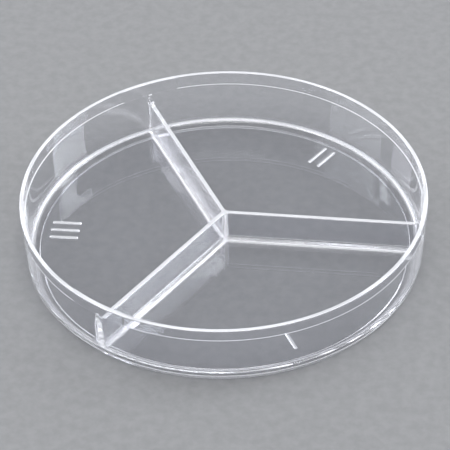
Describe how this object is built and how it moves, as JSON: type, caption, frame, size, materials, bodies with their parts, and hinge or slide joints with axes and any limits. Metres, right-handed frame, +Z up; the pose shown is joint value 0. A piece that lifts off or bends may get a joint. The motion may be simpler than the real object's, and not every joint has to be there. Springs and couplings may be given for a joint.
{
  "type": "petri dish",
  "caption": "Open round clear dish with a low drafted wall, split by a Y-shaped divider into equal sections for culture medium.",
  "frame": {"origin": "on the table under the centre of the dish, in the plane of the foot ring's underside", "axes": "+Z up through the open side, +X along one divider"},
  "size_m": [0.09, 0.09, 0.0147],
  "materials": {
    "clear_polystyrene": "clear gloss"
  },
  "bodies": {
    "root": {"floor_plate": "clear_polystyrene", "side_wall": "clear_polystyrene", "rim_band": "clear_polystyrene", "foot_ring": "clear_polystyrene", "divider_hub": "clear_polystyrene", "divider_arm_right": "clear_polystyrene", "divider_arm_rear": "clear_polystyrene", "divider_arm_front": "clear_polystyrene", "section_mark_one": "clear_polystyrene", "section_mark_two": "clear_polystyrene", "section_mark_three": "clear_polystyrene"}
  },
  "joints": []
}
